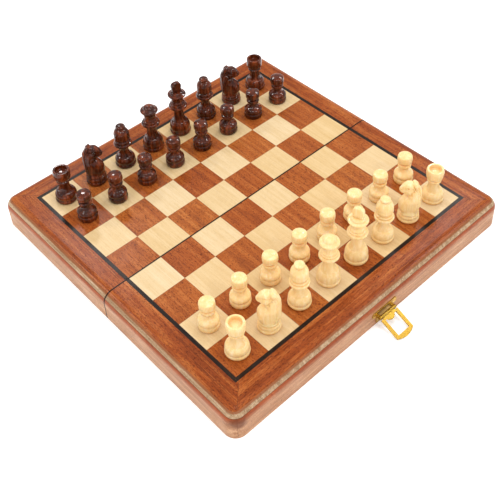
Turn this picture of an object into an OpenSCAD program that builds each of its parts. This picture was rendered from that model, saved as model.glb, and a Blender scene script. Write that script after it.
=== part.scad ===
/* [Playing surface] */
// Side of one square
square_w = 31.75; // [28:0.25:36]
// Wood lost where the finished board was sawn into two halves
kerf = 1.9; // [0:0.1:3]
// Width of the dark line round the squares
line_w = 3.2; // [1.5:0.1:4]
// Width of the margin from the squares to the outer edge
margin_w = 25.4; // [20:0.2:32]

/* [Board] */
// Height of one half, from the rim it stands on to the playing surface
board_t = 27; // [26.5:0.5:34]
// Radius of the rounded top edge
edge_r = 9.5; // [5:0.5:10]
// Radius of the corners, seen from above
corner_r = 10.5; // [10.5:0.5:16]
// Thickness of the face veneer
veneer_t = 1.2; // [0.8:0.1:1.6]
// Thickness of the plywood core under the veneer
core_t = 3.4; // [2.6:0.2:5]
// Thickness of the solid rails round each tray
rail_t = 10; // [9:0.5:14]
// Thickness of the felt in each tray
felt_t = 1; // [0.6:0.1:1.6]
// Gap between the two halves when the board lies open
seam_gap = 0.3; // [0.2:0.1:0.6]

/* [Hinges] */
// Distance of each hinge from the middle of the seam
hinge_x = 90; // [50:1:105]
// Length of a hinge along the seam
hinge_len = 25; // [20:1:32]
// Radius of the hinge knuckles
knuckle_r = 1.15; // [1.1:0.05:1.3]
// Thickness of the brass leaves
leaf_t = 0.6; // [0.5:0.05:0.7]

/* [Latch] */
// Sideways place of the latch on the front end
latch_x = 3.4; // [-20:0.2:20]
// Height of the bail's pin above the rim
bail_z = 9.8; // [9.5:0.1:10.5]
// Length of the bail from its pin to its outermost point
bail_len = 22.8; // [22:0.2:24]
// Width of the bail over its two arms
bail_w = 18.4; // [17:0.2:21]
// Width of each arm
arm_w = 3; // [2.4:0.1:3.4]
// Thickness of the bail
bail_t = 1.3; // [1:0.1:1.6]

/* [Chessmen] */
// Size of the chessmen, where 1 is a king 56 mm tall
man_scale = 1; // [0.8:0.05:1.05]
// Thickness of a knight's neck
knight_neck_w = 14; // [10:0.5:15]
// Thickness of a knight's head
knight_head_w = 10.5; // [8:0.5:12]

/* [Hidden] */
$fn = 48;
fit = 0.05; // running gap round pins and screws
cut = 0.1; // how far a cutter reaches past the face it cuts

half_w = 4 * square_w + margin_w; // from the middle to a long side
half_l = half_w - kerf / 2; // from the seam to an end
grid_l = 4 * square_w - kerf / 2; // from the seam to the end of the squares
near_y = -seam_gap / 2; // the white half's face at the seam
mitre_gap = 0.04; // hairline between the mitred strips of veneer
veneer_z = board_t - veneer_t;
core_z = veneer_z - core_t;

// The hinge pins lie a hair below the rims, so that the closed halves just clear
pin_z = -0.05;
pin_r = 0.5;
notch_r = knuckle_r + 0.3;
leaf_z = 0.15;
leaf_l = rail_t - 0.4;
leaf_start = notch_r + 0.05;
knuckle_gap = 0.2;
knuckle_mid_r = (pin_r + fit + knuckle_r) / 2;
hinge_screw_x = hinge_len / 2 - 4.5;
hinge_screw_y = (leaf_start + leaf_l) / 2;

screw_head_r = 1.9;
screw_head_h = 1.1;
screw_r = 0.8;
screw_len = 7;
screw_tip = 2;
slot_w = 0.4;
slot_h = 0.35;

plate_t = 0.8;
bail_y = 3.5; // how far the bail's pin stands out from the end face
bail_knuckle_r = 1.5;
bail_pin_r = 0.6;
ear_l = 2.4;
bail_sag = 2.5;
bail_root = [1.9, 3.8]; // from the pin to both sides of the bail's root strip
bail_bar = bail_len - bail_sag - 1.8; // from the pin to the straight inside of the end
tab_w = 7.5;
tab_l = 2.6;
// The bail leans out until its end all but rests on the table
bail_lean = asin((bail_z - bail_t / 2 - fit) / bail_len);
wing_x = bail_w / 2 + 1.8;
wing_z = bail_z + 2.7;
wing_r = 3;
plate_z = [2.2, 15.2];

catch_z = [2.4, 9.4];
catch_w = 15;
catch_screw_x = catch_w / 2;
tongue_z = [3.6, 7];
tongue_w = 8;
tongue_out = 5.6;
tongue_lip = 1.2;

MAPLE = "#e9d09a";
MAHOGANY = "#a8583a";
RAIL = "#c98f70";
PLY = "#bfa078";
CHARCOAL = "#3a332e";
BRASS = "#d9a83a";
FELT = "#2f5f45";
BOXWOOD = "#ecd28f";
ROSEWOOD = "#5a2a1c";

COLOURS = ["white", "black"];
FILES = ["a", "b", "c", "d", "e", "f", "g", "h"];
PIECES = ["rook", "knight", "bishop", "queen", "king", "bishop", "knight", "rook"];
BACK_RANK = 0;
PAWN_RANK = 1;

BOARD_NODES = ["end_rail", "side_rails", "hinge_rail", "panel", "border", "line_inlay",
               "light_squares", "dark_squares", "felt", "hinge_leaves", "screws"];
LATCH_NODES = ["hinge_pins", "latch_plate", "latch_pin", "latch_bail", "latch_catch"];

// How far each knight and each king's finial is turned, from facing along the files to Black
KNIGHT_TURNS = [45, 225];
KING_TURNS = [20, 80];

// ---- Outlines -------------------------------------------------------------
// An outline is a list of stations [x, y, bulge]. Each runs to the next in a bow that
// stands out to the right of its way by the bulge, and a negative bulge is a hollow.
BOW_STEPS = 6;
function bow(a, b) =
    let (way = [b[0] - a[0], b[1] - a[1]], out = [way[1], -way[0]] / norm(way))
    [for (i = [0 : (a[2] == 0 ? 1 : BOW_STEPS) - 1])
        let (t = i / BOW_STEPS) [a[0], a[1]] + t * way + 4 * a[2] * t * (1 - t) * out];
function traced(stations) = concat(
    [for (i = [0 : len(stations) - 2]) each bow(stations[i], stations[i + 1])],
    [[stations[len(stations) - 1][0], stations[len(stations) - 1][1]]]
);

// The foot that all men share, up to the middle of the skirt's first bulge
function foot(r, h) =
    [[r - 0.5, 0, 0], [r, 1, 0.2], [r, h, 0], [r - 0.6, h + 0.7, 0], [r - 0.3, h + 1.6, 0.8]];

PAWN = concat(foot(8.4, 4.4), [
    [6.9, 10.2, 0], [6.2, 10.7, -0.5], [3.8, 14.2, 0], [3.8, 15.5, 0], [5.4, 16.4, 0.35], [5.6, 19.2, 0],
    [4.2, 20, 0], [4.2, 20.9, 0], [5.8, 21.5, 0.3], [6.3, 23.6, 0.2], [6.2, 26.4, 0.5], [4.9, 28.1, 0.2],
    [1, 28.8, 0], [0, 28.9, 0]]);
ROOK = concat(foot(9.5, 3), [
    [7.3, 10.3, 0], [6.4, 10.7, -0.6], [4.6, 17.7, 0], [4.5, 20.3, 0], [5.7, 20.9, 0.3],
    [5.6, 22.1, 0], [5, 22.6, 0.8], [7.2, 27.9, 0.3], [7.1, 32.7, 0.2], [6.6, 33.5, 0],
    [5.2, 33.5, 0], [4.9, 30, 0], [0, 29.6, 0]]);
BISHOP = concat(foot(9.2, 3), [
    [7.1, 10.4, 0], [6.2, 10.8, -1.2], [4.6, 20, 0], [4.6, 21.4, 0], [7.8, 23, 0.4], [7.7, 25.4, 0],
    [6.5, 25.8, 0], [7, 26.3, 0.15], [6.8, 28, 0], [5.9, 28.5, 0.6], [6.9, 33, 1.2], [3.9, 40.6, 0],
    [3.4, 40.9, 0], [4.1, 41.8, 0.5], [3.3, 43.8, 0.2], [0, 44.2, 0]]);
QUEEN = concat(foot(9.5, 3.2), [
    [7.3, 12.5, 0], [6.4, 12.9, -1.1], [4.8, 25, 0], [4.8, 25.8, 0], [7.9, 27.4, 0.4], [7.8, 29.8, 0],
    [6.6, 30.2, 0], [6.8, 30.7, 0.15], [6.7, 32, 0], [5.8, 32.4, 0], [6, 32.8, 0.1], [5.8, 33.8, -0.4],
    [5.3, 36.8, -0.4], [7.6, 42, 0.5], [7.4, 43.8, 0.1], [5.8, 44.6, 0], [5.3, 44.9, 0.6],
    [2.6, 47.6, 0.2], [0, 48, 0]]);
KING = concat(foot(9.6, 3.3), [
    [7.4, 13.2, 0], [6.5, 13.6, -1.1], [4.9, 26.6, 0], [4.9, 27.4, 0], [8.1, 29, 0.4], [8, 31.2, 0],
    [6.8, 31.6, 0], [7, 32.1, 0.15], [6.9, 33.5, 0], [6, 33.9, 0], [6.2, 34.3, 0.1], [6, 35.3, -0.4],
    [5.5, 38, -0.4], [8, 42.4, 0.4], [7.9, 44, 0], [6.7, 44.4, 0], [6, 44.6, 0.5], [4.4, 46.4, 0],
    [0, 46.6, 0]]);
KNIGHT_FOOT = concat(foot(9.1, 3.6), [[7.7, 8.5, 0], [0, 8.5, 0]]);

// Half of the king's finial, from its root round to the middle of its top
FINIAL = [[0, 45.6, 0], [4.4, 45.6, 0], [4.2, 47, -0.2], [4.7, 51.5, 0.3], [3.6, 55.3, 0.3], [0, 56.3, 0]];
finial_t = 4.2;
// A knight from the side, from the front up over the head and down its back
KNIGHT_HEAD = [[3, 24, 0], [3.6, 27.3, 0], [7.4, 28.8, 0.3], [9, 31.2, 0.6], [8.2, 34.4, 0.8],
               [2.6, 39.2, -0.2], [-1, 38.5, 0], [-2.1, 40, 0], [-3.6, 39.5, 0.6],
               [-6.6, 35, 0.8], [-9.2, 28, 0], [-5, 24, 0]];
KNIGHT_NECK = [[7.7, 8.1, 0.5], [8.8, 17, 0.5], [7.9, 22.8, 0.3], [3.4, 26.2, 0], [3, 29, 0],
               [-3, 33.3, 0.5], [-8.6, 30, 0.2], [-9.4, 20.2, 0.5], [-7.7, 8.1, 0]];
knight_round_r = 9.5;
knight_top = 42;

module outline(stations) {
    polygon(traced(stations));
}

module turned(stations) {
    rotate_extrude() polygon(concat(traced(stations), [[0, 0]]));
}

// ---- Half board: drawn for White, at -Y, and turned half round for Black ------
module on_half(colour) {
    rotate([0, 0, colour == "black" ? 180 : 0]) children();
}

module rounded_profile(width) {
    square([width, board_t - edge_r]);
    square([width - edge_r, board_t]);
    translate([width - edge_r, board_t - edge_r]) circle(edge_r);
}

// The half's outer form: two runs with a rounded top edge, and a turned post at each corner
module half_form() {
    run_x = half_w - corner_r;
    run_l = half_l - corner_r;
    translate([-run_x, 0, 0]) rotate([90, 0, -90]) mirror([0, 0, 1])
        linear_extrude(2 * run_x) rounded_profile(half_l);
    for (side = [0, 1]) mirror([side, 0, 0]) {
        rotate([90, 0, 0]) linear_extrude(run_l) rounded_profile(half_w);
        translate([run_x, -run_l, 0]) rotate_extrude() intersection() {
            rounded_profile(corner_r);
            square([corner_r, board_t]);
        }
    }
}

// Plan of a strip that follows the front end, from inset a to inset b, mitred at both ends
// and shorter there by a gap
module end_strip(a, b, gap = 0) {
    out_x = half_w - a - gap;
    in_x = half_w - b - gap;
    polygon([[-out_x, -half_l + a], [out_x, -half_l + a], [in_x, -half_l + b], [-in_x, -half_l + b]]);
}

// Plan of the strip on the right side; its seam end is cut square, or mitred to reach back
module side_strip(a, b, back = 0) {
    polygon([[half_w - a, -half_l + a], [half_w - a, near_y],
             [half_w - b, near_y - back], [half_w - b, -half_l + b]]);
}

// Plan of the rail along the seam, mitred at both ends
module seam_strip() {
    polygon([[-half_w, near_y], [half_w, near_y],
             [half_w - rail_t, near_y - rail_t], [-half_w + rail_t, near_y - rail_t]]);
}

module both_sides() {
    for (side = [0, 1]) mirror([side, 0, 0]) children();
}

// What lies between two heights over a plan, within the half's outer form
module layer(from_z, to_z) {
    intersection() {
        half_form();
        translate([0, 0, from_z]) linear_extrude(to_z - from_z) children();
    }
}

module end_rail(colour) {
    color(RAIL) difference() {
        on_half(colour) layer(0, core_z) end_strip(0, rail_t);
        if (colour == "white") latch_screws(fit);
        if (colour == "black") catch_screws(fit);
    }
}

module side_rails(colour) {
    color(RAIL) on_half(colour) both_sides() layer(0, core_z) side_strip(0, rail_t, rail_t);
}

module hinge_rail(colour) {
    color(RAIL) on_half(colour) difference() {
        layer(0, core_z) seam_strip();
        at_hinges() {
            notch_l = hinge_len + 2 * knuckle_gap;
            rotate([0, 90, 0]) cylinder(h = notch_l, r = notch_r, center = true);
            translate([-notch_l / 2, -rail_t - 1, -pin_z - cut])
                cube([notch_l, rail_t + 1, leaf_z + leaf_t + cut]);
            hinge_screws(fit);
        }
    }
}

module panel(colour) {
    color(PLY) on_half(colour) layer(core_z, veneer_z) end_to_seam(0);
}

// Plan of everything from the seam to the inset a
module end_to_seam(a) {
    polygon([[-half_w + a, -half_l + a], [half_w - a, -half_l + a],
             [half_w - a, near_y], [-half_w + a, near_y]]);
}

module frame_strips(a, b) {
    layer(veneer_z, board_t) end_strip(a, b, mitre_gap);
    both_sides() layer(veneer_z, board_t) side_strip(a, b);
}

module border(colour) {
    color(MAHOGANY) on_half(colour) frame_strips(0, margin_w - line_w);
}

module line_inlay(colour) {
    color(CHARCOAL) on_half(colour) frame_strips(margin_w - line_w, margin_w);
}

// The squares of one half whose file and rank add up to odd or even, counted from a1 as 0
module squares(colour, odd) {
    on_half(colour) for (file = [0:7], rank = [0:3]) {
        if ((file + rank) % 2 == odd) {
            far_y = -grid_l + rank * square_w;
            translate([(file - 4) * square_w, far_y, veneer_z])
                cube([square_w, (rank == 3 ? near_y : far_y + square_w) - far_y, veneer_t]);
        }
    }
}

module felt(colour) {
    gap = 0.3;
    color(FELT) on_half(colour) translate([0, 0, core_z - felt_t]) linear_extrude(felt_t)
        polygon([[-half_w + rail_t + gap, -half_l + rail_t + gap],
                 [half_w - rail_t - gap, -half_l + rail_t + gap],
                 [half_w - rail_t - gap, near_y - rail_t - gap],
                 [-half_w + rail_t + gap, near_y - rail_t - gap]]);
}

// ---- Screws and hinges ------------------------------------------------------
// A countersunk screw that stands head down at the origin and points up, or with a
// grown gap the hole for it
module screw(gap = 0) {
    translate([0, 0, -gap]) cylinder(h = screw_head_h + gap, r1 = screw_head_r + gap, r2 = screw_r + gap);
    cylinder(h = screw_len - screw_tip, r = screw_r + gap);
    translate([0, 0, screw_len - screw_tip]) cylinder(h = screw_tip + gap, r1 = screw_r + gap, r2 = 0.2);
}

module slotted_screw() {
    difference() {
        screw();
        cube([2 * screw_head_r, slot_w, 2 * slot_h], center = true);
    }
}

module at_hinges() {
    for (side = [-1, 1]) translate([side * hinge_x, 0, pin_z]) children();
}

module hinge_screws(gap = 0) {
    for (side = [-1, 1]) translate([side * hinge_screw_x, -hinge_screw_y, leaf_z - pin_z]) {
        if (gap > 0) screw(gap);
        else slotted_screw();
    }
}

// One leaf lies in its rail's recess. White's has the two outer knuckles, Black's the middle one
module hinge_leaves(colour) {
    third = hinge_len / 3;
    knuckles = colour == "white" ? [-third, third] : [0];
    knuckle_l = third - knuckle_gap;
    color(BRASS) on_half(colour) at_hinges() difference() {
        union() {
            translate([-hinge_len / 2, -leaf_l, leaf_z - pin_z])
                cube([hinge_len, leaf_l - leaf_start, leaf_t]);
            for (x = knuckles) translate([x, 0, 0]) {
                translate([-knuckle_l / 2, -leaf_start - cut, leaf_z - pin_z])
                    cube([knuckle_l, leaf_start + cut - knuckle_mid_r, leaf_t]);
                rotate([0, 90, 0]) cylinder(h = knuckle_l, r = knuckle_r, center = true);
            }
        }
        rotate([0, 90, 0]) cylinder(h = hinge_len + 1, r = pin_r + fit, center = true);
        hinge_screws(fit);
    }
}

module hinge_pins() {
    color(BRASS) at_hinges() rotate([0, 90, 0]) cylinder(h = hinge_len, r = pin_r, center = true);
}

module screws(colour) {
    color(BRASS) {
        on_half(colour) at_hinges() hinge_screws();
        if (colour == "white") latch_screws();
        if (colour == "black") catch_screws();
    }
}

// ---- Latch --------------------------------------------------------------------
// Sets its children on the end face, with +Z pointing up and -Y pointing out of the face.
// Black's catch is at the other end, so that it comes to the latch when the board folds
module on_end(colour) {
    mirror([0, colour == "black" ? 1 : 0, 0]) translate([latch_x, -half_l, 0]) children();
}

module end_screw(gap) {
    translate([0, -plate_t, 0]) rotate([-90, 0, 0]) {
        if (gap > 0) screw(gap);
        else slotted_screw();
    }
}

module latch_screws(gap = 0) {
    on_end("white") for (side = [-1, 1]) translate([side * wing_x, 0, wing_z]) end_screw(gap);
}

module catch_screws(gap = 0) {
    on_end("black") for (side = [-1, 1])
        translate([side * catch_screw_x, 0, (catch_z[0] + catch_z[1]) / 2]) end_screw(gap);
}

// A sheet of brass against the end face, whose outline is drawn in x and z
module end_sheet() {
    rotate([90, 0, 0]) linear_extrude(plate_t) children();
}

module latch_plate() {
    color(BRASS) difference() {
        on_end("white") {
            end_sheet() {
                translate([-bail_w / 2, plate_z[0]]) square([bail_w, plate_z[1] - plate_z[0]]);
                for (side = [-1, 1]) translate([side * wing_x, wing_z]) circle(wing_r);
            }
            difference() {
                for (side = [0, 1]) mirror([side, 0, 0]) latch_ear();
                at_bail_pin() cylinder(h = 2 * bail_w, r = bail_pin_r + fit, center = true);
            }
        }
        latch_screws(fit);
    }
}

module latch_ear() {
    translate([bail_w / 2 - ear_l, 0, bail_z]) {
        translate([0, -bail_y, -bail_knuckle_r * 0.8])
            cube([ear_l, bail_y - plate_t / 2, bail_knuckle_r * 1.6]);
        translate([0, -bail_y, 0]) rotate([0, 90, 0]) cylinder(h = ear_l, r = bail_knuckle_r);
    }
}

// The bail's pin, as the Z axis of its children
module at_bail_pin() {
    translate([0, -bail_y, bail_z]) rotate([0, 90, 0]) children();
}

module latch_pin() {
    color(BRASS) on_end("white") at_bail_pin() cylinder(h = bail_w + 1, r = bail_pin_r, center = true);
}

module bail_plan() {
    arm_x = bail_w / 2;
    difference() {
        polygon(traced([[-arm_x, -bail_root[0], 0], [-arm_x, -bail_len + bail_sag, bail_sag],
                        [arm_x, -bail_len + bail_sag, 0], [arm_x, -bail_root[0], 0]]));
        translate([-arm_x + arm_w, -bail_bar])
            square([bail_w - 2 * arm_w, bail_bar - bail_root[1]]);
    }
    translate([-tab_w / 2, -bail_root[1] - tab_l / 2]) square([tab_w, tab_l / 2 + 1]);
    intersection() {
        translate([0, -bail_root[1] + tab_w / 2 - tab_l]) circle(tab_w / 2);
        translate([-tab_w / 2, -bail_root[1] - tab_l]) square([tab_w, tab_l + 1]);
    }
}

module latch_bail() {
    knuckle_l = bail_w - 2 * ear_l - knuckle_gap;
    color(BRASS) on_end("white") translate([0, -bail_y, bail_z]) rotate([bail_lean, 0, 0]) difference() {
        union() {
            translate([0, 0, -bail_t / 2]) linear_extrude(bail_t) bail_plan();
            translate([-knuckle_l / 2, -bail_root[1] + 1, -bail_t / 2])
                cube([knuckle_l, bail_root[1] - 1, bail_t]);
            rotate([0, 90, 0]) cylinder(h = knuckle_l, r = bail_knuckle_r, center = true);
        }
        rotate([0, 90, 0]) cylinder(h = 2 * bail_w, r = bail_pin_r + fit, center = true);
    }
}

module latch_catch() {
    mid_z = (catch_z[0] + catch_z[1]) / 2;
    color(BRASS) difference() {
        on_end("black") {
            end_sheet() {
                translate([-catch_w / 2, catch_z[0]]) square([catch_w, catch_z[1] - catch_z[0]]);
                for (side = [-1, 1])
                    translate([side * catch_screw_x, mid_z]) circle((catch_z[1] - catch_z[0]) / 2);
            }
            translate([-tongue_w / 2, 0, 0]) rotate([90, 0, 90]) linear_extrude(tongue_w)
                polygon([[-plate_t / 2, tongue_z[0]], [-plate_t / 2, tongue_z[1]],
                         [-tongue_out, tongue_z[1]], [-tongue_out, tongue_z[0]],
                         [-tongue_out + tongue_lip, tongue_z[0]],
                         [-tongue_out + tongue_lip, tongue_z[1] - tongue_lip],
                         [-plate_t - tongue_lip, tongue_z[1] - tongue_lip],
                         [-plate_t - tongue_lip / 2, tongue_z[0]]]);
        }
        catch_screws(fit);
    }
}

// ---- Chessmen -------------------------------------------------------------------
// Each man stands in the middle of its square
module on_square(colour, file, rank) {
    white = colour == "white";
    mid_y = grid_l - (rank + 0.5) * square_w;
    color(white ? BOXWOOD : ROSEWOOD)
        translate([(file - 3.5) * square_w, white ? -mid_y : mid_y, board_t])
            scale(man_scale) children();
}

// The file's own piece, on the back rank
module piece(colour, file) {
    turn_index = colour == "white" ? 0 : 1;
    on_square(colour, file, BACK_RANK) {
        if (PIECES[file] == "rook") turned(ROOK);
        if (PIECES[file] == "knight") rotate([0, 0, KNIGHT_TURNS[turn_index]]) knight();
        if (PIECES[file] == "bishop") turned(BISHOP);
        if (PIECES[file] == "queen") turned(QUEEN);
        if (PIECES[file] == "king") king(KING_TURNS[turn_index]);
    }
}

module pawn(colour, file) {
    on_square(colour, file, PAWN_RANK) turned(PAWN);
}

module king(turn) {
    turned(KING);
    rotate([90, 0, 90 + turn]) linear_extrude(finial_t, center = true) both_halves() outline(FINIAL);
}

// An outline of the right half and its mirror image, closed down the middle
module both_halves() {
    children();
    mirror([1, 0]) children();
}

// A plate of a side view, with x forward along +Y and y up
module side_view(thickness) {
    rotate([90, 0, 90]) linear_extrude(thickness, center = true) children();
}

module knight() {
    turned(KNIGHT_FOOT);
    intersection() {
        union() {
            side_view(knight_neck_w) polygon(traced(KNIGHT_NECK));
            side_view(knight_head_w) polygon(traced(KNIGHT_HEAD));
        }
        cylinder(h = knight_top, r = knight_round_r);
    }
}

// ---- Nodes ----------------------------------------------------------------------
for (c = COLOURS) {
    end_rail(c);
    side_rails(c);
    hinge_rail(c);
    panel(c);
    border(c);
    line_inlay(c);
    color(MAPLE) squares(c, 1);
    color(MAHOGANY) squares(c, 0);
    felt(c);
    hinge_leaves(c);
    screws(c);
}
hinge_pins();
latch_plate();
latch_pin();
latch_bail();
latch_catch();
for (c = COLOURS, file = [0:7]) {
    piece(c, file);
    pawn(c, file);
}
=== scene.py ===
"""The looks of a folding wooden chess board, opened flat, and its 32 turned chessmen."""
import math

import bmesh
import bpy
import numpy as np
from mathutils import Matrix, Vector


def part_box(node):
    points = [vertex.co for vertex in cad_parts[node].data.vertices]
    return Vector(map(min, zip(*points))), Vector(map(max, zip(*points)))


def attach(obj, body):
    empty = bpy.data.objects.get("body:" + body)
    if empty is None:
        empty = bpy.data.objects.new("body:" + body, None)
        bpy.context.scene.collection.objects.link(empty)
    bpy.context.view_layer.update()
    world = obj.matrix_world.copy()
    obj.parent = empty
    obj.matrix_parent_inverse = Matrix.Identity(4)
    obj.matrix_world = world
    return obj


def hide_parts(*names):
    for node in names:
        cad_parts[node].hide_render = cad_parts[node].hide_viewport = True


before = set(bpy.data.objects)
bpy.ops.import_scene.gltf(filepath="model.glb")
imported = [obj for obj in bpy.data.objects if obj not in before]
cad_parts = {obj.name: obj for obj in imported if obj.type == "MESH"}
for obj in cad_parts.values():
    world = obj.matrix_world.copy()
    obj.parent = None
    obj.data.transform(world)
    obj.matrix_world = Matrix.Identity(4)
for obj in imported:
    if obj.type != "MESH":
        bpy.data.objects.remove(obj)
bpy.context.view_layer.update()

MM = 0.001

# ---- Sizes, from the frame --------------------------------------------------
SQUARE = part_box("white_light_squares")[1].x / 4
GRID_X = 4 * SQUARE  # from the middle to the side of the squares
GRID_Y = -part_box("white_light_squares")[0].y  # from the seam to the end of the squares
HALF_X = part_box("white_end_rail")[1].x
HALF_Y = -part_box("white_end_rail")[0].y
TOP_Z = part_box("white_border")[1].z
PLY_Z = (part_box("white_panel")[0].z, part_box("white_panel")[1].z)
HALF_KERF = GRID_X - GRID_Y
EDGE_R = 9.5 * MM  # radius of the board's rounded top edge
FOOT_GAP = 0.02 * MM  # so that no foot cuts into the veneer
VENEER_GRAIN = 0.03 * MM  # depth of the grain that the lacquer leaves open
STREAK_LONG = 14  # how much longer than wide the streaks in wood are
FIBRE_LONG = 30  # and its fibres
FELT_CELLS = (96, 44)
FELT_WAVE = 0.1 * MM

FILES = "abcdefgh"
PIECES = ["rook", "knight", "bishop", "queen", "king", "bishop", "knight", "rook"]
KNIGHT_TURN = {"white": 45, "black": 225}  # degrees, from facing +Y
KING_TURN = {"white": 20, "black": 80}  # so is the width of each king's finial
RING_LIGHTS = 7
RING_R = 1.1
RING_Z = 1.2


# ---- Camera, light and floor ------------------------------------------------
def set_camera():
    """Looks down on the near corner. The shift puts the board in the middle of the frame."""
    heading, dip, roll = (math.radians(a) for a in (40.848, 40.551, -2.778))
    data = bpy.data.cameras.new("camera")
    data.sensor_width = 36
    data.lens = 64.4
    data.shift_y = -0.24
    camera = bpy.data.objects.new("camera", data)
    aim = (Matrix.Rotation(-heading, 4, "Z") @ Matrix.Rotation(math.pi / 2 - dip, 4, "X")
           @ Matrix.Rotation(roll, 4, "Z"))
    camera.matrix_world = Matrix.Translation((-0.35283, -0.41538, 0.56936)) @ aim
    bpy.context.collection.objects.link(camera)
    bpy.context.scene.camera = camera


def softbox(name, place, size, power):
    """A square soft light at place, facing the middle of the board."""
    data = bpy.data.lights.new(name, "AREA")
    data.size = size
    data.energy = power
    light = bpy.data.objects.new(name, data)
    light.location = place
    light.rotation_euler = (-Vector(place)).to_track_quat("-Z", "Y").to_euler()
    bpy.context.collection.objects.link(light)


def light_studio():
    world = bpy.data.worlds.new("studio")
    world.use_nodes = True
    background = world.node_tree.nodes["Background"]
    background.inputs["Color"].default_value = (1, 1, 1, 1)
    # White where it is seen, and dimmer as a light
    seen = world.node_tree.nodes.new("ShaderNodeLightPath").outputs["Is Camera Ray"]
    strength = world.node_tree.nodes.new("ShaderNodeMapRange")
    strength.inputs["To Min"].default_value = 0.7
    strength.inputs["To Max"].default_value = 1.0
    world.node_tree.links.new(seen, strength.inputs["Value"])
    world.node_tree.links.new(strength.outputs[0], background.inputs["Strength"])
    bpy.context.scene.world = world
    bpy.context.scene.view_settings.view_transform = "Standard"
    for i in range(RING_LIGHTS):
        angle = math.tau * (i + 0.35) / RING_LIGHTS
        place = (RING_R * math.sin(angle), RING_R * math.cos(angle), RING_Z)
        softbox(f"ring_{i}", place, 0.16, 3.0)
    softbox("top", (0.1, -0.1, 1.7), 0.5, 5)


def lay_floor():
    bpy.ops.mesh.primitive_plane_add(size=30)
    floor = bpy.context.object
    floor.name = "floor"
    shade = Shade("floor")
    shade.set(Roughness=0.9, Specular_IOR_Level=0.1)
    mottle = shade.noise(shade.scaled(shade.place(), (3, 3, 3)), detail=2)
    shade.colour(shade.mix(mottle, linear("fbfbfb"), linear("ffffff")))
    shade.set(Emission_Color=(1, 1, 1, 1), Emission_Strength=0.25)
    floor.data.materials.append(shade.material)


# ---- Material nodes ---------------------------------------------------------
def linear(code):
    """A colour for a shader, from its usual six hexadecimal digits."""
    parts = [int(code[i:i + 2], 16) / 255 for i in (0, 2, 4)]
    return tuple(c / 12.92 if c <= 0.04045 else ((c + 0.055) / 1.055) ** 2.4 for c in parts) + (1,)


def tones(*codes):
    """A material's colours, from the darkest to the palest."""
    return [linear(code) for code in codes]


class Shade:
    """One material's node tree, with short calls that add nodes to it."""

    def __init__(self, name):
        self.material = bpy.data.materials.new(name)
        self.material.use_nodes = True
        self.tree = self.material.node_tree
        self.surface = self.tree.nodes["Principled BSDF"]

    def plug(self, socket, value):
        if isinstance(value, bpy.types.NodeSocket):
            self.tree.links.new(value, socket)
        else:
            socket.default_value = value

    def add(self, kind, inputs, output=0, **settings):
        node = self.tree.nodes.new("ShaderNode" + kind)
        for setting, value in settings.items():
            setattr(node, setting, value)
        for socket, value in inputs.items():
            self.plug(node.inputs[socket], value)
        return node.outputs[output]

    def set(self, **values):
        for socket, value in values.items():
            self.surface.inputs[socket.replace("_", " ")].default_value = value

    def colour(self, value):
        self.plug(self.surface.inputs["Base Color"], value)

    def place(self):
        return self.add("TexCoord", {}, output="Object")

    def math(self, operation, *values):
        return self.add("Math", dict(enumerate(values)), operation=operation)

    def vector(self, operation, *values):
        return self.add("VectorMath", dict(enumerate(values)), operation=operation)

    def scaled(self, vector, factors):
        return self.vector("MULTIPLY", vector, factors)

    def parts(self, vector):
        node = self.tree.nodes.new("ShaderNodeSeparateXYZ")
        self.plug(node.inputs[0], vector)
        return list(node.outputs)

    def joined(self, x, y, z):
        return self.add("CombineXYZ", {0: x, 1: y, 2: z})

    def noise(self, vector, detail=3.0, roughness=0.55, distortion=0.0):
        return self.add("TexNoise", {"Vector": vector, "Scale": 1.0, "Detail": detail,
                                     "Roughness": roughness, "Distortion": distortion})

    def fade(self, value, start, end, low=0.0, high=1.0):
        """From low, where value is at start, smoothly to high, where it is at end."""
        return self.add("MapRange", {"Value": value, "From Min": start, "From Max": end,
                                     "To Min": low, "To Max": high}, interpolation_type="SMOOTHSTEP")

    def mix(self, factor, first, second, blend="MIX"):
        return self.add("Mix", {0: factor, 6: first, 7: second}, output=2, data_type="RGBA",
                        blend_type=blend)

    def either(self, factor, first, second):
        """One of two vectors."""
        return self.add("Mix", {0: factor, 4: first, 5: second}, output=1, data_type="VECTOR")

    def ramp(self, factor, colours, low=0.3, high=0.7):
        """Runs through the colours as factor goes from low to high."""
        node = self.tree.nodes.new("ShaderNodeValToRGB")
        stops = node.color_ramp.elements
        while len(stops) < len(colours):
            stops.new(0.5)
        for i, colour in enumerate(colours):
            stops[i].position = low + (high - low) * i / (len(colours) - 1)
            stops[i].color = colour
        self.plug(node.inputs[0], factor)
        return node.outputs[0]

    def bump(self, height, depth, strength=1.0):
        normal = self.add("Bump", {"Height": height, "Distance": depth, "Strength": strength})
        self.plug(self.surface.inputs["Normal"], normal)


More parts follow.
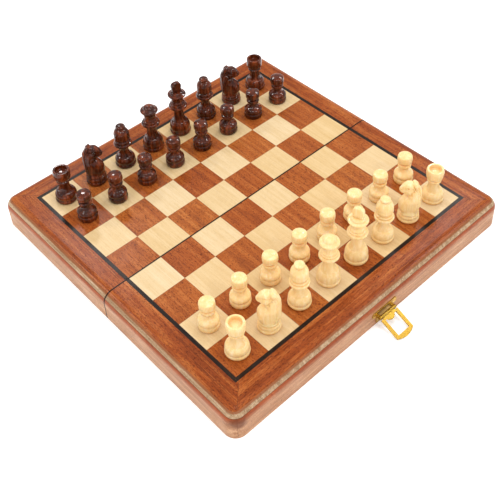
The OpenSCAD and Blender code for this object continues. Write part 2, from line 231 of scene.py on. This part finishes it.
# ---- Wood -------------------------------------------------------------------
def wooden(shade, place, colours, streak=5.0, fibre=0.6, pores=0.5, ripple=0.0, threads=0.45):
    """Wood whose grain runs along the second axis of place.

    streak and fibre are how wide its streaks and fibres are, in mm. Returns its colour and its
    relief, which is 1 on the surface and less in the pores."""
    streaks, fibres = 1000 / streak, 1000 / fibre  # in a metre
    broad = shade.noise(shade.scaled(place, (streaks, streaks / STREAK_LONG, streaks)), distortion=0.6)
    fine = shade.noise(shade.scaled(place, (fibres, fibres / FIBRE_LONG, fibres)), detail=2.0)
    dash = shade.noise(shade.scaled(place, (2100, 480, 2100)), detail=2.0)
    tone = shade.math("ADD", shade.math("MULTIPLY", broad, 0.62), shade.math("MULTIPLY", fine, 0.38))
    if ripple:
        band = shade.noise(shade.scaled(place, (45, 160, 45)), detail=1.0)
        wave = shade.math("SUBTRACT", band, 0.5)
        tone = shade.math("ADD", tone, shade.math("MULTIPLY", wave, ripple))
    pore = shade.fade(dash, 0.52, 0.66)
    colour = shade.ramp(tone, colours)
    thread = shade.noise(shade.scaled(place, (900, 9, 900)), detail=1.0)
    pale = shade.fade(thread, 0.58, 0.7, 0.0, threads)
    colour = shade.mix(pale, colour, colours[2])
    dark = shade.mix(1.0, colour, linear("8a6a5a"), "MULTIPLY")
    hollow = shade.math("MULTIPLY", pore, pores)
    colour = shade.mix(hollow, colour, dark)
    relief = shade.math("SUBTRACT", shade.math("MULTIPLY", fine, 0.4), hollow)
    return colour, relief


def lacquered(shade, place, relief, depth, roughness=0.34, coat=0.1):
    """A satin lacquer that has settled a little into the grain."""
    smear = shade.noise(shade.scaled(place, (60, 60, 60)), detail=2.0)
    shade.plug(shade.surface.inputs["Roughness"],
               shade.fade(smear, 0.3, 0.7, roughness - 0.06, roughness + 0.08))
    shade.set(Coat_Weight=coat, Coat_Roughness=0.22, Specular_IOR_Level=0.1)
    shade.bump(relief, depth)


def sawn_edge(shade, place, colour):
    """Darkens a colour along the rim of the seam, where the board was sawn in two: a dark stain there,
    and painted shadow of the gap between the halves.
    """
    x, y, z = shade.parts(place)
    past_x = shade.math("ADD", shade.math("ABSOLUTE", x), EDGE_R - HALF_X)
    past_z = shade.math("ADD", z, EDGE_R - TOP_Z)
    corner = shade.joined(shade.math("MAXIMUM", past_x, 0.0), shade.math("MAXIMUM", past_z, 0.0), 0.0)
    reach = shade.add("VectorMath", {0: corner}, output=1, operation="LENGTH")
    rim = shade.fade(reach, EDGE_R - 1.6 * MM, EDGE_R - 0.6 * MM)
    # Painted shadow of the gap between the halves, together with its real stain: nearly black close to
    # the seam.
    stain_and_gap_shadow = shade.fade(shade.math("ABSOLUTE", y), 0.45 * MM, 0.95 * MM, 0.92, 0.0)
    return shade.mix(shade.math("MULTIPLY", stain_and_gap_shadow, rim), colour, linear("1c0f08"))


def spot(shade, place, centre, size):
    """1 in the middle of a soft blot at centre, size across, and 0 outside it."""
    away = shade.vector("DIVIDE", shade.vector("SUBTRACT", place, centre), size)
    ragged = shade.math("MULTIPLY", shade.noise(shade.scaled(place, (180, 180, 180))), 0.5)
    length = shade.add("VectorMath", {0: away}, output=1, operation="LENGTH")
    return shade.fade(shade.math("ADD", length, ragged), 0.45, 0.85, 1.0, 0.0)


def cells(shade, place):
    """A vector for each square of the board: its file, its rank and its half."""
    x, y, _ = shade.parts(place)
    file = shade.math("FLOOR", shade.math("DIVIDE", x, SQUARE))
    reach = shade.math("ADD", shade.math("ABSOLUTE", y), HALF_KERF)
    rank = shade.math("FLOOR", shade.math("DIVIDE", reach, SQUARE))
    return shade.joined(file, rank, shade.math("SIGN", y))


def square_joints(shade, place):
    """1 along the thin joints between the squares."""
    x, y, _ = shade.parts(place)
    reach = shade.math("ADD", shade.math("ABSOLUTE", y), HALF_KERF)
    gaps = [shade.math("PINGPONG", value, SQUARE / 2) for value in (x, reach)]
    return shade.fade(shade.math("MINIMUM", *gaps), 0.05 * MM, 0.22 * MM, 1.0, 0.0)


def squares_veneer(name, colours, tint, pores):
    """Veneer squares, each cut from another place of the sheet."""
    shade = Shade(name)
    place = shade.place()
    cell = cells(shade, place)
    chance = shade.add("TexWhiteNoise", {"Vector": cell}, output="Color")
    own_place = shade.vector("ADD", place, shade.scaled(chance, (3.1, 2.3, 1.7)))
    colour, relief = wooden(shade, own_place, colours, streak=4.2, fibre=0.7, pores=pores,
                            ripple=0.1)
    first, _, _ = shade.parts(chance)
    colour = shade.mix(shade.math("MULTIPLY", first, 0.6), colour,
                       shade.mix(1.0, colour, linear(tint), "MULTIPLY"))
    joint = square_joints(shade, place)
    colour = shade.mix(shade.math("MULTIPLY", joint, 0.55), colour, linear("5a3420"))
    shade.colour(sawn_edge(shade, place, colour))
    lacquered(shade, place, relief, VENEER_GRAIN)
    return shade.material


def strip_wood(name, colours, pores, depth, streak=5.0, knots=0.0, mitred=True):
    """Wood in strips round a half: the grain runs along each strip, and along X if not mitred."""
    shade = Shade(name)
    place = shade.place()
    x, y, z = shade.parts(place)
    to_side = shade.math("SUBTRACT", shade.math("ABSOLUTE", x), HALF_X)
    to_end = shade.math("SUBTRACT", shade.math("ABSOLUTE", y), HALF_Y)
    past_mitre = shade.math("SUBTRACT", to_end, to_side)
    is_end = shade.math("GREATER_THAN", past_mitre, 0.0 if mitred else -1.0)
    shift = shade.math("MULTIPLY", shade.math("ADD", shade.math("SIGN", y), is_end), 0.37)
    along_y = shade.joined(x, shade.math("ADD", y, shift), z)
    along_x = shade.joined(y, shade.math("ADD", x, shift), z)
    own_place = shade.either(is_end, along_y, along_x)
    colour, relief = wooden(shade, own_place, colours, streak=streak, pores=pores, ripple=0.06)
    if knots:
        knot = shade.noise(shade.scaled(own_place, (60, 26, 60)), distortion=1.5)
        colour = shade.mix(shade.fade(knot, 0.66, 0.76, 0.0, knots), colour, linear("6b3d26"))
    mitre = shade.fade(shade.math("ABSOLUTE", past_mitre), 0.12 * MM, 0.35 * MM, 1.0, 0.0)
    colour = shade.mix(shade.math("MULTIPLY", mitre, 0.6 if mitred else 0.0), colour,
                       linear("4a2a1a"))
    shade.colour(sawn_edge(shade, place, colour))
    lacquered(shade, place, relief, depth)
    return shade


def rail_wood(name, mitred=True):
    """Solid rails, warmer under the ply, with a dark joint line under the ply that is partly painted
    shadow, a filled flaw and a dark corner.
    """
    shade = strip_wood(name, tones("9c6a48", "b9855f", "d6aa84"),
                       pores=0.5, depth=0.05 * MM, streak=3.2, knots=0.4, mitred=mitred)
    place = shade.place()
    _, _, z = shade.parts(place)
    colour = shade.surface.inputs["Base Color"].links[0].from_socket
    warm = shade.fade(z, PLY_Z[0] - 7 * MM, PLY_Z[0] - 1 * MM)
    colour = shade.mix(shade.math("MULTIPLY", warm, 0.9), colour,
                       shade.mix(1.0, colour, linear("d58350"), "MULTIPLY"))
    filler = spot(shade, place, (-HALF_X, -8 * MM, PLY_Z[0] - 3.5 * MM), (8 * MM, 9 * MM, 3.5 * MM))
    corner = spot(shade, place, (2 * MM - HALF_X, 2 * MM - HALF_Y, PLY_Z[0] - 5 * MM),
                  (20 * MM, 20 * MM, 12 * MM))
    flaw = shade.math("MAXIMUM", filler, corner)
    colour = shade.mix(shade.math("MULTIPLY", flaw, 0.85), colour, linear("6f3a1e"))
    # Painted shadow along the joint just under the ply.
    joint_shadow = shade.fade(z, PLY_Z[0] - 0.5 * MM, PLY_Z[0] - 0.1 * MM)
    colour = shade.mix(shade.math("MULTIPLY", joint_shadow, 0.8), colour, linear("5b331d"))
    shade.colour(colour)
    return shade.material


def plywood():
    """The panel: a dark face ply under the veneer, and tan plies that show along the edge."""
    shade = Shade("plywood")
    place = shade.place()
    _, _, z = shade.parts(place)
    colour, relief = wooden(shade, place, tones("86684c", "ad8d6c", "d6ba9a"),
                            streak=3.0, fibre=0.8, pores=0.5)
    thickness = PLY_Z[1] - PLY_Z[0]
    ply = shade.math("PINGPONG", shade.math("SUBTRACT", z, PLY_Z[0]), thickness / 3)
    seam = shade.fade(ply, 0.05 * MM, 0.3 * MM, 1.0, 0.0)
    colour = shade.mix(shade.math("MULTIPLY", seam, 0.3), colour, linear("6d4a2c"))
    face = shade.fade(z, PLY_Z[1] - 1.1 * MM, PLY_Z[1] - 0.8 * MM)
    colour = shade.mix(shade.math("MULTIPLY", face, 0.85), colour, linear("8a4a24"))
    shade.colour(sawn_edge(shade, place, colour))
    lacquered(shade, place, relief, 0.04 * MM, roughness=0.45)
    return shade.material


def dark_line():
    """Dyed charcoal veneer."""
    return strip_wood("dark_line", tones("150e09", "221711", "33251a"), pores=0.6,
                      depth=VENEER_GRAIN, streak=2.0).material


def boxwood():
    """Pale turned wood: the grain runs up each man, and fine rings are left from the lathe. A warm
    orange is painted into its recesses as shade.
    """
    shade = Shade("boxwood")
    place = shade.place()
    x, y, z = shade.parts(place)
    upright = shade.joined(x, z, y)
    colour, relief = wooden(shade, upright, tones("ecc482", "f3d193", "f9e0b4"),
                            streak=3.0, fibre=0.5, pores=0.06, threads=0.1)
    # Painted shade: warm orange where ambient occlusion finds a recess, standing in for light that
    # bounces there.
    hollow = shade.add("AmbientOcclusion", {"Distance": 4 * MM}, output="AO", samples=4)
    shade.colour(shade.mix(shade.fade(hollow, 0.3, 0.95, 0.75, 0.0), colour, linear("e5a24c")))
    turning = shade.noise(shade.joined(0.0, 0.0, shade.math("MULTIPLY", z, 2600)), detail=1.0)
    relief = shade.math("ADD", shade.math("MULTIPLY", relief, 0.5),
                        shade.math("MULTIPLY", turning, 0.5))
    lacquered(shade, place, relief, 0.02 * MM, roughness=0.38, coat=0.45)
    shade.set(Coat_Roughness=0.12, Subsurface_Weight=0.25, Subsurface_Radius=(1.0, 0.6, 0.3))
    shade.set(Subsurface_Scale=2 * MM)
    return shade.material


def rosewood():
    """Dark red-brown wood under a thick gloss varnish."""
    shade = Shade("rosewood")
    place = shade.place()
    x, y, z = shade.parts(place)
    upright = shade.joined(x, z, y)
    colour, relief = wooden(shade, upright, tones("260b05", "5a220a", "a34d22"),
                            streak=4.0, fibre=0.7, pores=0.3, threads=0.15)
    cloud = shade.noise(shade.scaled(place, (140, 140, 90)), detail=2.0)
    colour = shade.mix(shade.fade(cloud, 0.35, 0.65, 0.0, 0.75), colour, linear("240a04"))
    shade.colour(colour)
    runs = shade.noise(shade.scaled(place, (700, 700, 500)), detail=1.0)
    shade.bump(shade.math("ADD", shade.math("MULTIPLY", relief, 0.25), runs), 0.012 * MM)
    wipe = shade.noise(shade.scaled(place, (90, 90, 90)), detail=2.0)
    shade.plug(shade.surface.inputs["Roughness"], shade.fade(wipe, 0.3, 0.7, 0.16, 0.3))
    shade.set(Coat_Weight=0.8, Coat_Roughness=0.04, Coat_IOR=1.38, Specular_IOR_Level=0.1)
    return shade.material


def felt():
    """Green felt: a mat of short fibres with a soft sheen."""
    shade = Shade("felt")
    place = shade.place()
    mat = shade.noise(shade.scaled(place, (900, 900, 900)), detail=4.0, roughness=0.7)
    patch = shade.noise(shade.scaled(place, (25, 25, 25)), detail=2.0)
    tone = shade.math("ADD", shade.math("MULTIPLY", mat, 0.6), shade.math("MULTIPLY", patch, 0.4))
    shade.colour(shade.ramp(tone, tones("173a29", "245540", "3a7459")))
    shade.set(Roughness=0.95, Sheen_Weight=0.5, Sheen_Roughness=0.5)
    shade.bump(mat, 0.25 * MM)
    return shade.material


def brass(name, colours, roughness, scratch):
    """Plated brass, rubbed along its length, with fine scratches and dull patches."""
    shade = Shade(name)
    place = shade.place()
    tarnish = shade.noise(shade.scaled(place, (260, 260, 260)), detail=3.0)
    shade.colour(shade.ramp(tarnish, colours, low=0.1, high=0.9))
    rubbed = shade.noise(shade.scaled(place, (400, 2500, 2500)), detail=2.0)
    shade.plug(shade.surface.inputs["Roughness"],
               shade.fade(tarnish, 0.3, 0.7, roughness, roughness + 0.14))
    shade.set(Metallic=1.0)
    shade.bump(rubbed, scratch)
    return shade.material


# ---- Board ------------------------------------------------------------------
def edge_relief(node, width):
    """Breaks the sharp edges of a CAD node, which comes with its faces apart."""
    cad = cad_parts[node]
    weld = cad.modifiers.new("weld", "WELD")
    weld.merge_threshold = 0.01 * MM
    bevel = cad.modifiers.new("edges", "BEVEL")
    bevel.width = width
    bevel.segments = 2
    bevel.limit_method = "ANGLE"
    bevel.angle_limit = math.radians(40)
    cad.modifiers.new("flats", "WEIGHTED_NORMAL")


def finish_node(node, material):
    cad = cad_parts[node]
    if not cad.material_slots:
        cad.data.materials.append(material)
    for slot in cad.material_slots:
        slot.material = material


def finish_board():
    mahogany = tones("86451f", "a75a24", "c2783c")
    maple = tones("d0b283", "d8bd92", "e0c8a2")
    margin_wood = tones("6c2d10", "954618", "bd7036")
    margin = strip_wood("mahogany_margin", margin_wood, pores=0.8, depth=VENEER_GRAIN).material
    rail = rail_wood("rail_wood")
    hinge_brass = brass("hinge_brass", tones("a9812f", "d9ab4a", "efcb72"), 0.24, 0.02 * MM)
    looks = {
        "end_rail": rail, "side_rails": rail,
        "hinge_rail": rail_wood("seam_rail_wood", mitred=False), "panel": plywood(),
        "border": margin, "line_inlay": dark_line(),
        "hinge_leaves": hinge_brass, "screws": hinge_brass,
        "light_squares": squares_veneer("maple", maple, "f4e6c4", 0.12),
        "dark_squares": squares_veneer("mahogany", mahogany, "d4a48c", 0.85),
    }
    for colour in ("white", "black"):
        for part, material in looks.items():
            finish_node(f"{colour}_{part}", material)
    latch_brass = brass("latch_brass", tones("a07a2a", "b38d38", "c9a652"), 0.28, 0.0015 * MM)
    for node in ("hinge_pins", "latch_plate", "latch_pin", "latch_bail", "latch_catch"):
        finish_node(node, latch_brass)
    for node in ("latch_plate", "latch_bail", "latch_catch"):
        edge_relief(node, 0.15 * MM)


def lay_felt(colour, material):
    """A thin felt, glued down in the tray, a little uneven all over."""
    node = f"{colour}_felt"
    low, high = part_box(node)
    rng = np.random.default_rng(5 if colour == "white" else 6)
    across, along = FELT_CELLS
    waves = rng.uniform(-1, 1, (across + 1, along + 1))

    def face_z(i, j, glued):
        """The height of one face's point. The free face, below, is uneven, and its rim is thinner."""
        if glued:
            return high.z
        if i in (0, across) or j in (0, along):
            return (low.z + high.z) / 2
        return low.z + FELT_WAVE * (1 + waves[i, j])

    shape = bmesh.new()
    sheets = [[[shape.verts.new((low.x + (high.x - low.x) * i / across,
                                 low.y + (high.y - low.y) * j / along, face_z(i, j, glued)))
                for j in range(along + 1)] for i in range(across + 1)] for glued in (False, True)]
    for side, rows in enumerate(sheets):
        for i in range(across):
            for j in range(along):
                corners = [rows[i][j], rows[i + 1][j], rows[i + 1][j + 1], rows[i][j + 1]]
                shape.faces.new(corners if side else corners[::-1])
    lower, upper = sheets
    rim = ([(i, 0) for i in range(across)] + [(across, j) for j in range(along)]
           + [(i, along) for i in range(across, 0, -1)] + [(0, j) for j in range(along, 0, -1)])
    for (i, j), (k, m) in zip(rim, rim[1:] + rim[:1]):
        shape.faces.new([lower[i][j], lower[k][m], upper[k][m], upper[i][j]])
    piece = solid(f"{colour}_felt_sheet", shape, material)
    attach(piece, f"{colour}_half")
    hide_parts(node)


# ---- Chessmen ---------------------------------------------------------------
# An outline is a list of stations (x, y, bulge) in mm. Each runs to the next in a bow that stands
# out to the right of its way by the bulge, and a negative bulge is a hollow.
def foot(radius, height):
    """The foot that all men share, up to the middle of the skirt's first bulge."""
    return [(radius - 0.5, 0, 0), (radius, 1, 0.2), (radius, height, 0),
            (radius - 0.6, height + 0.7, 0), (radius - 0.3, height + 1.6, 0.8)]


OUTLINES = {
    "pawn": foot(8.4, 4.4) + [
        (6.9, 10.2, 0), (6.2, 10.7, -0.5), (3.8, 14.2, 0), (3.8, 15.5, 0), (5.4, 16.4, 0.35),
        (5.6, 19.2, 0), (4.2, 20, 0), (4.2, 20.9, 0), (5.8, 21.5, 0.3), (6.3, 23.6, 0.2),
        (6.2, 26.4, 0.5), (4.9, 28.1, 0.2), (1, 28.8, 0), (0, 28.9, 0)],
    "rook": foot(9.5, 3) + [
        (7.3, 10.3, 0), (6.4, 10.7, -0.6), (4.6, 17.7, 0), (4.5, 20.3, 0), (5.7, 20.9, 0.3),
        (5.6, 22.1, 0), (5, 22.6, 0.8), (7.2, 27.9, 0.3), (7.1, 32.7, 0.2), (6.6, 33.5, 0),
        (5.2, 33.5, 0), (4.9, 30, 0), (0, 29.6, 0)],
    "bishop": foot(9.2, 3) + [
        (7.1, 10.4, 0), (6.2, 10.8, -1.2), (4.6, 20, 0), (4.6, 21.4, 0), (7.8, 23, 0.4),
        (7.7, 25.4, 0), (6.5, 25.8, 0), (7, 26.3, 0.15), (6.8, 28, 0), (5.9, 28.5, 0.6),
        (6.9, 33, 1.2), (3.9, 40.6, 0), (3.4, 40.9, 0), (4.1, 41.8, 0.5), (3.3, 43.8, 0.2),
        (0, 44.2, 0)],
    "queen": foot(9.5, 3.2) + [
        (7.3, 12.5, 0), (6.4, 12.9, -1.1), (4.8, 25, 0), (4.8, 25.8, 0), (7.9, 27.4, 0.4),
        (7.8, 29.8, 0), (6.6, 30.2, 0), (6.8, 30.7, 0.15), (6.7, 32, 0), (5.8, 32.4, 0),
        (6, 32.8, 0.1), (5.8, 33.8, -0.4), (5.3, 36.8, -0.4), (7.6, 42, 0.5), (7.4, 43.8, 0.1),
        (5.8, 44.6, 0), (5.3, 44.9, 0.6), (2.6, 47.6, 0.2), (0, 48, 0)],
    "king": foot(9.6, 3.3) + [
        (7.4, 13.2, 0), (6.5, 13.6, -1.1), (4.9, 26.6, 0), (4.9, 27.4, 0), (8.1, 29, 0.4),
        (8, 31.2, 0), (6.8, 31.6, 0), (7, 32.1, 0.15), (6.9, 33.5, 0), (6, 33.9, 0),
        (6.2, 34.3, 0.1), (6, 35.3, -0.4), (5.5, 38, -0.4), (8, 42.4, 0.4), (7.9, 44, 0),
        (6.7, 44.4, 0), (6, 44.6, 0.5), (4.4, 46.4, 0), (0, 46.6, 0)],
    "knight": foot(9.1, 3)[:3] + [
        (8.5, 3.7, 0), (8.7, 4.4, 0.4), (8.3, 7.2, 0), (7.7, 7.6, 0), (8.3, 8.1, 0.2),
        (8.2, 9.6, 0), (7.5, 10.1, 0), (0, 10.1, 0)],
}
FINIAL = [(4.4, 45.6, 0), (4.2, 47, -0.2), (4.7, 51.5, 0.3), (3.6, 55.2, 0.3), (0, 56.2, 0.3),
          (-3.6, 55.2, 0.3), (-4.7, 51.5, -0.2), (-4.2, 47, 0), (-4.4, 45.6, 0), (4.4, 45.6, 0)]
FINIAL_T = 4.2
FINIAL_VOXEL = 0.25


def traced(stations, steps=10):
    """The points of an outline in mm, every bow in so many steps."""
    points = []
    for start, end in zip(stations, stations[1:]):
        way = np.subtract(end[:2], start[:2])
        out = np.array((way[1], -way[0])) / np.hypot(*way)
        count = steps if start[2] else 1
        for t in np.arange(count) / count:
            points.append(start[:2] + t * way + 4 * start[2] * t * (1 - t) * out)
    points.append(np.array(stations[-1][:2], float))
    return points


def eased(points, ease=0.16, sharp=0.35):
    """Rounds each corner that turns by more than sharp radians, over ease mm either way."""
    result = [points[0]]
    for before, corner, after in zip(points, points[1:], points[2:]):
        back, on = before - corner, after - corner
        back_length, on_length = np.hypot(*back), np.hypot(*on)
        turn = math.pi - math.acos(np.clip(back @ on / back_length / on_length, -1, 1))
        if turn < sharp:
            result.append(corner)
            continue
        start = corner + back * min(ease / back_length, 0.45)
        end = corner + on * min(ease / on_length, 0.45)
        for t in (0, 0.35, 0.65, 1):
            result.append((1 - t) ** 2 * start + 2 * t * (1 - t) * corner + t * t * end)
    result.append(points[-1])
    return result


def solid(name, shape, material):
    """Makes a smooth-shaded object of a bmesh."""
    bmesh.ops.recalc_face_normals(shape, faces=shape.faces)
    mesh = bpy.data.meshes.new(name)
    shape.to_mesh(mesh)
    shape.free()
    for face in mesh.polygons:
        face.use_smooth = True
    mesh.materials.append(material)
    piece = bpy.data.objects.new(name, mesh)
    bpy.context.collection.objects.link(piece)
    return piece


def lathe(shape, outline, centre, turns=64):
    """Adds a solid of revolution to shape. The outline is in mm, the centre in metres."""
    rings = []
    for radius, height in outline:
        count = turns if radius > 0 else 1
        rings.append([shape.verts.new((centre.x + MM * radius * math.cos(math.tau * i / turns),
                                       centre.y + MM * radius * math.sin(math.tau * i / turns),
                                       centre.z + MM * height)) for i in range(count)])
    for lower, upper in zip(rings, rings[1:]):
        for i in range(turns):
            k = (i + 1) % turns
            corners = [lower[i % len(lower)], lower[k % len(lower)], upper[k % len(upper)],
                       upper[i % len(upper)]]
            unique = list(dict.fromkeys(corners))
            shape.faces.new(unique)


def standing(node):
    """Where a man's foot stands: the middle of its box, a hair above its lowest."""
    low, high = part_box(node)
    return Vector(((low.x + high.x) / 2, (low.y + high.y) / 2, low.z + FOOT_GAP))


def prism(outline, half_thickness, voxel):
    """The points and faces of a remeshed slab, with the outline in X and Z, all in mm."""
    shape = bmesh.new()
    front = [shape.verts.new((x * MM, -half_thickness * MM, z * MM)) for x, z in outline]
    back = [shape.verts.new((x * MM, half_thickness * MM, z * MM)) for x, z in outline]
    shape.faces.new(front)
    shape.faces.new(back[::-1])
    for i in range(len(outline)):
        k = (i + 1) % len(outline)
        shape.faces.new([front[i], back[i], back[k], front[k]])
    bmesh.ops.recalc_face_normals(shape, faces=shape.faces)
    mesh = bpy.data.meshes.new("slab")
    shape.to_mesh(mesh)
    shape.free()
    slab = bpy.data.objects.new("slab", mesh)
    bpy.context.collection.objects.link(slab)
    remesh = slab.modifiers.new("remesh", "REMESH")
    remesh.mode = "VOXEL"
    remesh.voxel_size = voxel * MM
    fine = slab.evaluated_get(bpy.context.evaluated_depsgraph_get()).to_mesh()
    points = np.array([v.co for v in fine.vertices]) / MM
    faces = [tuple(p.vertices) for p in fine.polygons]
    bpy.data.objects.remove(slab)
    return points, faces


def distance(points, line, closed=False):
    """How far each point lies from a line of points, in the plane of both."""
    line = np.asarray(line, float)
    ends = np.roll(line, -1, axis=0) if closed else line[1:]
    starts = line if closed else line[:-1]
    nearest = np.full(len(points), np.inf)
    for start, end in zip(starts, ends):
        way = end - start
        t = np.clip((points - start) @ way / max(way @ way, 1e-9), 0, 1)
        nearest = np.minimum(nearest, np.linalg.norm(points - start - t[:, None] * way, axis=1))
    return nearest


def dip(away, width):
    """A soft groove: 1 in the middle and 0 beyond width."""
    t = np.clip(1 - away / width, 0, 1)
    return t * t * (3 - 2 * t)


def swell(depth, reach, edge):
    """How thick a rounded slab is, depth in from its outline: edge at the rim and 1 inside."""
    t = np.clip(depth / reach, 0, 1)
    return edge + (1 - edge) * np.sqrt(1 - (1 - t) ** 2)


def add_carved(shape, points, faces, centre, turn):
    """Adds carved points to shape, turned about the upright axis and set on centre."""
    angle = math.radians(turn)
    x = points[:, 0] * math.cos(angle) - points[:, 1] * math.sin(angle)
    y = points[:, 0] * math.sin(angle) + points[:, 1] * math.cos(angle)
    verts = [shape.verts.new((centre.x + MM * a, centre.y + MM * b, centre.z + MM * c))
             for a, b, c in zip(x, y, points[:, 2])]
    for face in faces:
        shape.faces.new([verts[i] for i in face])


# A knight from the side, facing +X: up its chest, over its head and down its back
KNIGHT_SIDE = [(7.7, 8.1, 0.4), (8.7, 16, 0.5), (7.7, 21.4, 0.3), (2.6, 25.6, -0.1),
               (2.9, 27.4, 0), (7.2, 29.2, 0.3), (9, 31.4, 0.6), (8.2, 34.4, 0.6), (2.8, 39, -0.1),
               (-0.8, 38.8, 0), (-2.4, 39.8, 0.3), (-4, 39.2, 0.5), (-6.6, 35.4, 0.9),
               (-9.3, 28, 0.2), (-9.4, 20.2, 0.5), (-7.7, 8.1, 0), (7.7, 8.1, 0)]
KNIGHT_JAW = [(4.2, 27.6, 0.5), (-0.4, 28.2, 1.0), (-2.4, 32.2, 0.3), (-1.4, 35.6, 0)]
KNIGHT_MOUTH = [(9.2, 31.3), (6.8, 30.8), (5.4, 31.1)]
KNIGHT_EAR = [(-1.2, 38.6), (-2.4, 36), (-3.4, 34)]
KNIGHT_CHEEK = (1.4, 32)
KNIGHT_NOSTRIL = (7.4, 33)
KNIGHT_EYE = (2.3, 35.8)
KNIGHT_ROUND_R = 9.5  # of the block that it is carved from
KNIGHT_ROOT_R = 7.9  # where the neck leaves the foot
KNIGHT_NECK_W, KNIGHT_HEAD_W = 14, 8.6
KNIGHT_VOXEL = 0.32
MANE_W = 3.6
MANE_PITCH = 2.1


def carve_knight():
    """A knight's neck and head, as points and faces in mm, facing +X."""
    outline = traced(KNIGHT_SIDE, 8)[:-1]
    half = KNIGHT_NECK_W / 2
    points, faces = prism(outline, half, KNIGHT_VOXEL)
    side = points[:, [0, 2]]
    x, z = side[:, 0], side[:, 1]
    depth = distance(side, outline, closed=True)

    def from_spot(middle):
        return np.hypot(x - middle[0], z - middle[1])

    # It narrows from the neck to the head and towards the muzzle, and its rim is rounded
    level = np.clip((z - 22) / 12, 0, 1)
    wide = half + (KNIGHT_HEAD_W / 2 - half) * level
    wide = np.minimum(wide, np.sqrt(np.maximum(KNIGHT_ROUND_R ** 2 - x ** 2, 1.0)))
    wide *= 1 - 0.42 * np.clip((x - 2) / 6, 0, 1) * np.clip((z - 15) / 6, 0, 1)
    crown = np.clip((z - 33) / 3, 0, 1)
    wide *= swell(depth, 6 - 3 * crown, 0.16 + 0.4 * crown)
    # The neck grows out of the round foot
    root = np.clip((13 - z) / 3, 0, 1)
    wide += root * (np.sqrt(np.maximum(KNIGHT_ROOT_R ** 2 - x ** 2, 0.3)) - wide)
    # The cheek stands out, and grooves make the jaw, the mouth, the nostril, the eye and the ear
    wide += 0.4 * dip(from_spot(KNIGHT_CHEEK), 3.8)
    wide -= 1.0 * dip(distance(side, traced(KNIGHT_JAW, 8)), 1.3)
    wide -= 0.7 * dip(distance(side, KNIGHT_MOUTH), 0.6)
    wide -= 0.8 * dip(from_spot(KNIGHT_NOSTRIL), 0.75)
    wide -= 1.0 * dip(from_spot(KNIGHT_EYE), 0.95)
    wide += 0.4 * dip(np.abs(from_spot(KNIGHT_EYE) - 1.3), 0.6)
    wide -= 0.8 * dip(distance(side, KNIGHT_EAR), 0.9)
    # The mane: a band along the back, set off by a groove and notched aslant
    back = traced(KNIGHT_SIDE[-6:-1], 8)
    from_back = distance(side, back)
    wide -= 0.55 * dip(np.abs(from_back - MANE_W), 0.8) * (z > 14) * (z < 36)
    notch = np.abs((z * 0.8 + x * 0.9) / MANE_PITCH % 1 - 0.5) * 2
    wide -= 0.8 * dip(notch, 0.5) * np.clip((3.4 - from_back) / 1.2, 0, 1) * (z > 12) * (z < 37)
    share = points[:, 1] / half
    carved = points.copy()
    carved[:, 1] = share * np.maximum(wide, 0.6)
    # A groove between the ears
    ear = dip(np.abs(carved[:, 1]), 1.2) * np.clip((z - 37.8) / 1.5, 0, 1) * (x < -0.8)
    carved[:, 2] -= 0.5 * ear
    return carved, faces


def carve_finial():
    outline = traced(FINIAL, 8)[:-1]
    points, faces = prism(outline, FINIAL_T / 2, FINIAL_VOXEL)
    depth = distance(points[:, [0, 2]], outline, closed=True)
    points[:, 1] *= swell(depth, 0.9, 0.7)
    return points, faces


def make_men():
    wood = {"white": boxwood(), "black": rosewood()}
    knight = carve_knight()
    finial = carve_finial()
    for colour in ("white", "black"):
        names = [f"{kind}_{file}" for kind, file in zip(PIECES, FILES)]
        names += [f"pawn_{file}" for file in FILES]
        for name in names:
            node = f"{colour}_{name}"
            kind = name.split("_")[0]
            centre = standing(node)
            shape = bmesh.new()
            lathe(shape, eased([np.zeros(2)] + traced(OUTLINES[kind])), centre)
            if kind == "knight":
                add_carved(shape, *knight, centre, 90 + KNIGHT_TURN[colour])
            if kind == "king":
                add_carved(shape, *finial, centre, 90 + KING_TURN[colour])
            piece = solid(f"{node}_turned", shape, wood[colour])
            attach(piece, node)
            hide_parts(node)


set_camera()
light_studio()
lay_floor()
finish_board()
felt_cloth = felt()
for half in ("white", "black"):
    lay_felt(half, felt_cloth)
make_men()
